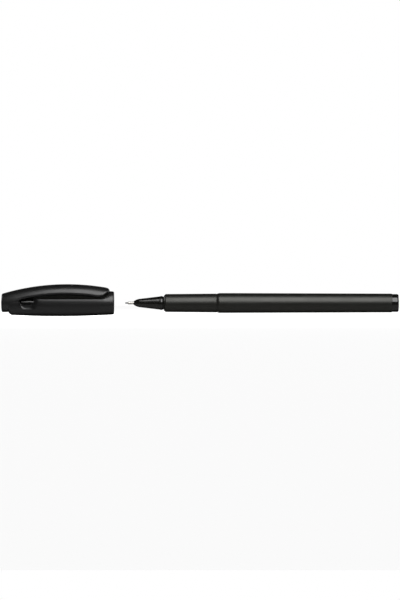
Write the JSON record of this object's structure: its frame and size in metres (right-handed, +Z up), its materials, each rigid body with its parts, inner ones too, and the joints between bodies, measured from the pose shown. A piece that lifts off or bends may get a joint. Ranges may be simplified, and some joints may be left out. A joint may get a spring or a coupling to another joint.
{
  "type": "fineliner pen",
  "caption": "Fineliner pen with a fibre nib in a steel tube and a vented push-on cap with a sprung pocket clip, shown with the cap drawn off in line.",
  "frame": {"origin": "under the middle of pen and cap, on the surface that the cap's belly lies on", "axes": "+X along the pen from the cap's head to the end plug, +Z up with the clip on top, +Y away from the viewer of the picture"},
  "size_m": [0.1986, 0.0132, 0.016],
  "materials": {
    "barrel_plastic": "fine matt moulded",
    "cap_plastic": "satin moulded",
    "gloss_plastic": "polished moulded",
    "nib_steel": "drawn",
    "nib_fibre": "ink-soaked",
    "reservoir_fibre": "bonded fibre",
    "reservoir_film": "clear film"
  },
  "bodies": {
    "pen": {"barrel": "barrel_plastic", "end_plug": "gloss_plastic", "nib_holder": "gloss_plastic", "nib_tube": "nib_steel", "nib": "nib_fibre", "reservoir_core": "reservoir_fibre", "reservoir_film": "reservoir_film"},
    "cap": {"cap_shell": "cap_plastic", "inner_cap": "gloss_plastic"},
    "clip": {"clip": "cap_plastic"}
  },
  "joints": [
    {"name": "cap_slide", "type": "slide", "parent": "pen", "child": "cap", "axis": [1, 0, 0], "range_m": [0, 0.05165]},
    {"name": "clip_flex", "type": "hinge", "parent": "cap", "child": "clip", "pos_m": [-0.09045, 0, 0.0126], "axis": [0, -1, 0], "range_deg": [0, 3.5], "stiffness_Nm_per_rad": 2}
  ]
}
